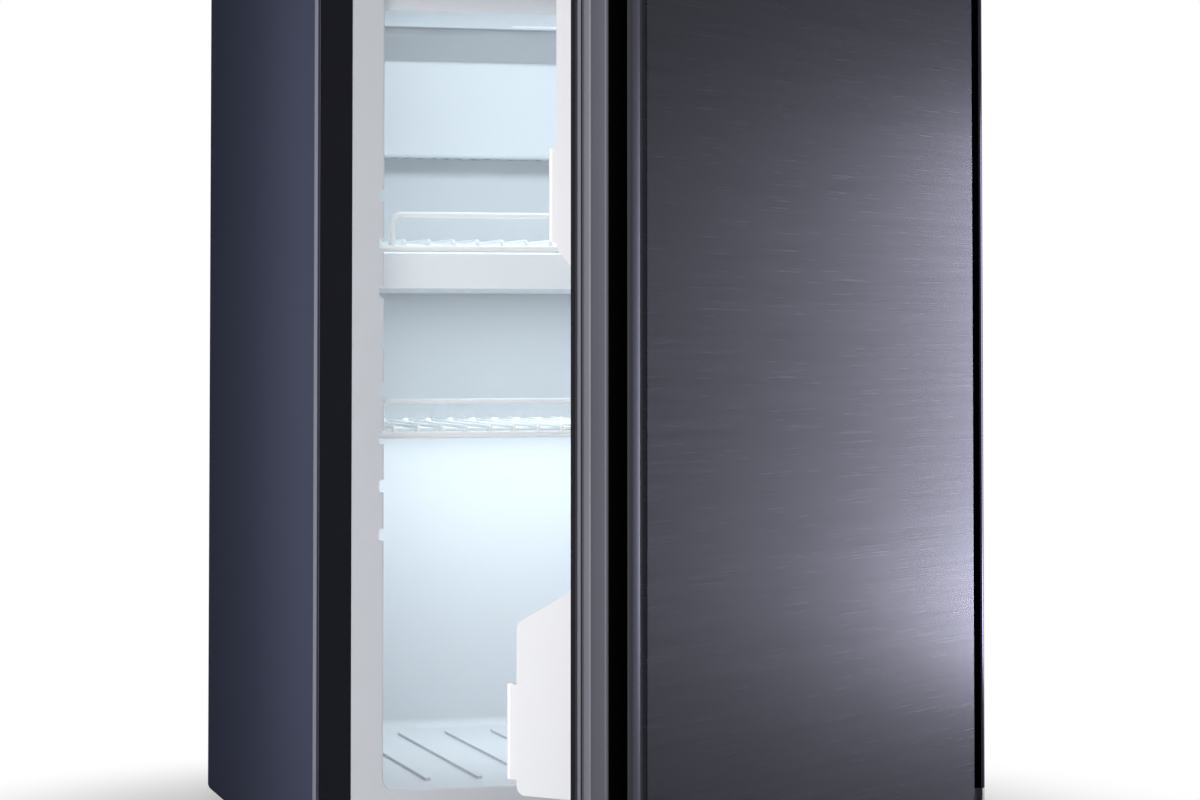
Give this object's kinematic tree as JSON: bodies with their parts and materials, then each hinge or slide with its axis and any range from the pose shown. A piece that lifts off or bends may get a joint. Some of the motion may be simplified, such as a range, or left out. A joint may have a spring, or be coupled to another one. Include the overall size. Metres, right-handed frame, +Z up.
{
  "type": "minibar fridge",
  "caption": "Small dark absorption fridge with a white compartment, wire shelves and one right-hinged door, ajar, with racks inside and a finger recess along its free edge.",
  "frame": {"origin": "on the floor under the centre of the cabinet's footprint, in the plane of the feet", "axes": "+X to the right seen from the front, +Y backwards into the cabinet, +Z up"},
  "size_m": [0.4001, 0.6735, 0.5657],
  "materials": {
    "cabinet_paint": "satin anthracite paint",
    "frame_black": "semi-gloss black",
    "liner_white": "white, lightly glossy",
    "foam": "cast insulation foam",
    "galvanised": "galvanised sheet",
    "foot_rubber": "black",
    "hinge_black": "black",
    "fastener_steel": "zinc plated",
    "lens_frosted": "frosted",
    "board_green": "solder-masked board",
    "dark_plastic": "moulded black",
    "knob_grey": "moulded grey",
    "plain_aluminium": "mill finish",
    "wire_white": "white coating",
    "tray_white": "translucent white",
    "plain_steel": "drawn",
    "unit_black": "matt black",
    "door_brushed": "dark, brushed across",
    "profile_dark": "dark anodised",
    "cap_grey": "dark grey",
    "gasket_dark": "dark grey vinyl",
    "bush_plastic": "acetal",
    "rack_white": "white"
  },
  "bodies": {
    "cabinet": {"outer_shell": "cabinet_paint", "front_frame": "frame_black", "inner_liner": "liner_white", "cabinet_foam": "foam", "base_tray": "galvanised", "rear_panel": "galvanised", "feet": "foot_rubber", "hinge_bracket_top": "hinge_black", "hinge_bracket_bottom": "hinge_black", "hinge_pins": "fastener_steel", "hinge_screws": "fastener_steel", "control_console": "liner_white", "light_lens": "lens_frosted", "led_board": "board_green", "thermostat_body": "dark_plastic", "evaporator_cover": "liner_white", "evaporator_fins": "plain_aluminium", "boiler_casing": "galvanised", "heater_cartridge": "plain_steel", "vapour_pipe": "unit_black", "condenser_tube": "unit_black", "condenser_fins": "plain_aluminium", "evaporator_tube": "unit_black", "absorber_coil": "unit_black", "absorber_vessel": "unit_black", "heat_exchanger": "unit_black", "solution_line": "unit_black", "unit_brackets": "galvanised", "unit_screws": "fastener_steel", "junction_box": "dark_plastic", "inlet_socket": "dark_plastic"},
    "door": {"door_panel": "door_brushed", "handle_profile": "profile_dark", "hinge_side_profile": "profile_dark", "door_cap_bottom": "cap_grey", "door_cap_top": "cap_grey", "door_foam": "foam", "door_liner": "liner_white", "door_gasket": "gasket_dark", "gasket_magnets": "dark_plastic", "hinge_bushes": "bush_plastic"},
    "shelf_upper": {"shelf_upper": "wire_white"},
    "shelf_lower": {"shelf_lower": "wire_white"},
    "drip_tray": {"drip_tray": "tray_white"},
    "thermostat_knob": {"thermostat_knob": "knob_grey"},
    "door_rack_upper": {"door_rack_upper": "rack_white"},
    "door_rack_lower": {"door_rack_lower": "rack_white"}
  },
  "joints": [
    {"name": "door_hinge", "type": "hinge", "parent": "cabinet", "child": "door", "pos_m": [0.182, -0.2155, 0.2855], "axis": [0, 0, 1], "range_deg": [-40.86, 74]},
    {"name": "shelf_upper_slide", "type": "slide", "parent": "cabinet", "child": "shelf_upper", "axis": [0, -1, 0], "range_m": [0, 0.042]},
    {"name": "shelf_lower_slide", "type": "slide", "parent": "cabinet", "child": "shelf_lower", "axis": [0, -1, 0], "range_m": [0, 0.09]},
    {"name": "drip_tray_slide", "type": "slide", "parent": "cabinet", "child": "drip_tray", "axis": [0, -1, 0], "range_m": [0, 0.044]},
    {"name": "thermostat_knob_turn", "type": "hinge", "parent": "cabinet", "child": "thermostat_knob", "pos_m": [0.092, -0.1803, 0.52], "axis": [0, -1, 0], "range_deg": [0, 270]},
    {"name": "door_rack_upper_lift", "type": "slide", "parent": "door", "child": "door_rack_upper", "axis": [0, 0, 1], "range_m": [0, 0.014]},
    {"name": "door_rack_lower_lift", "type": "slide", "parent": "door", "child": "door_rack_lower", "axis": [0, 0, 1], "range_m": [0, 0.014]}
  ]
}
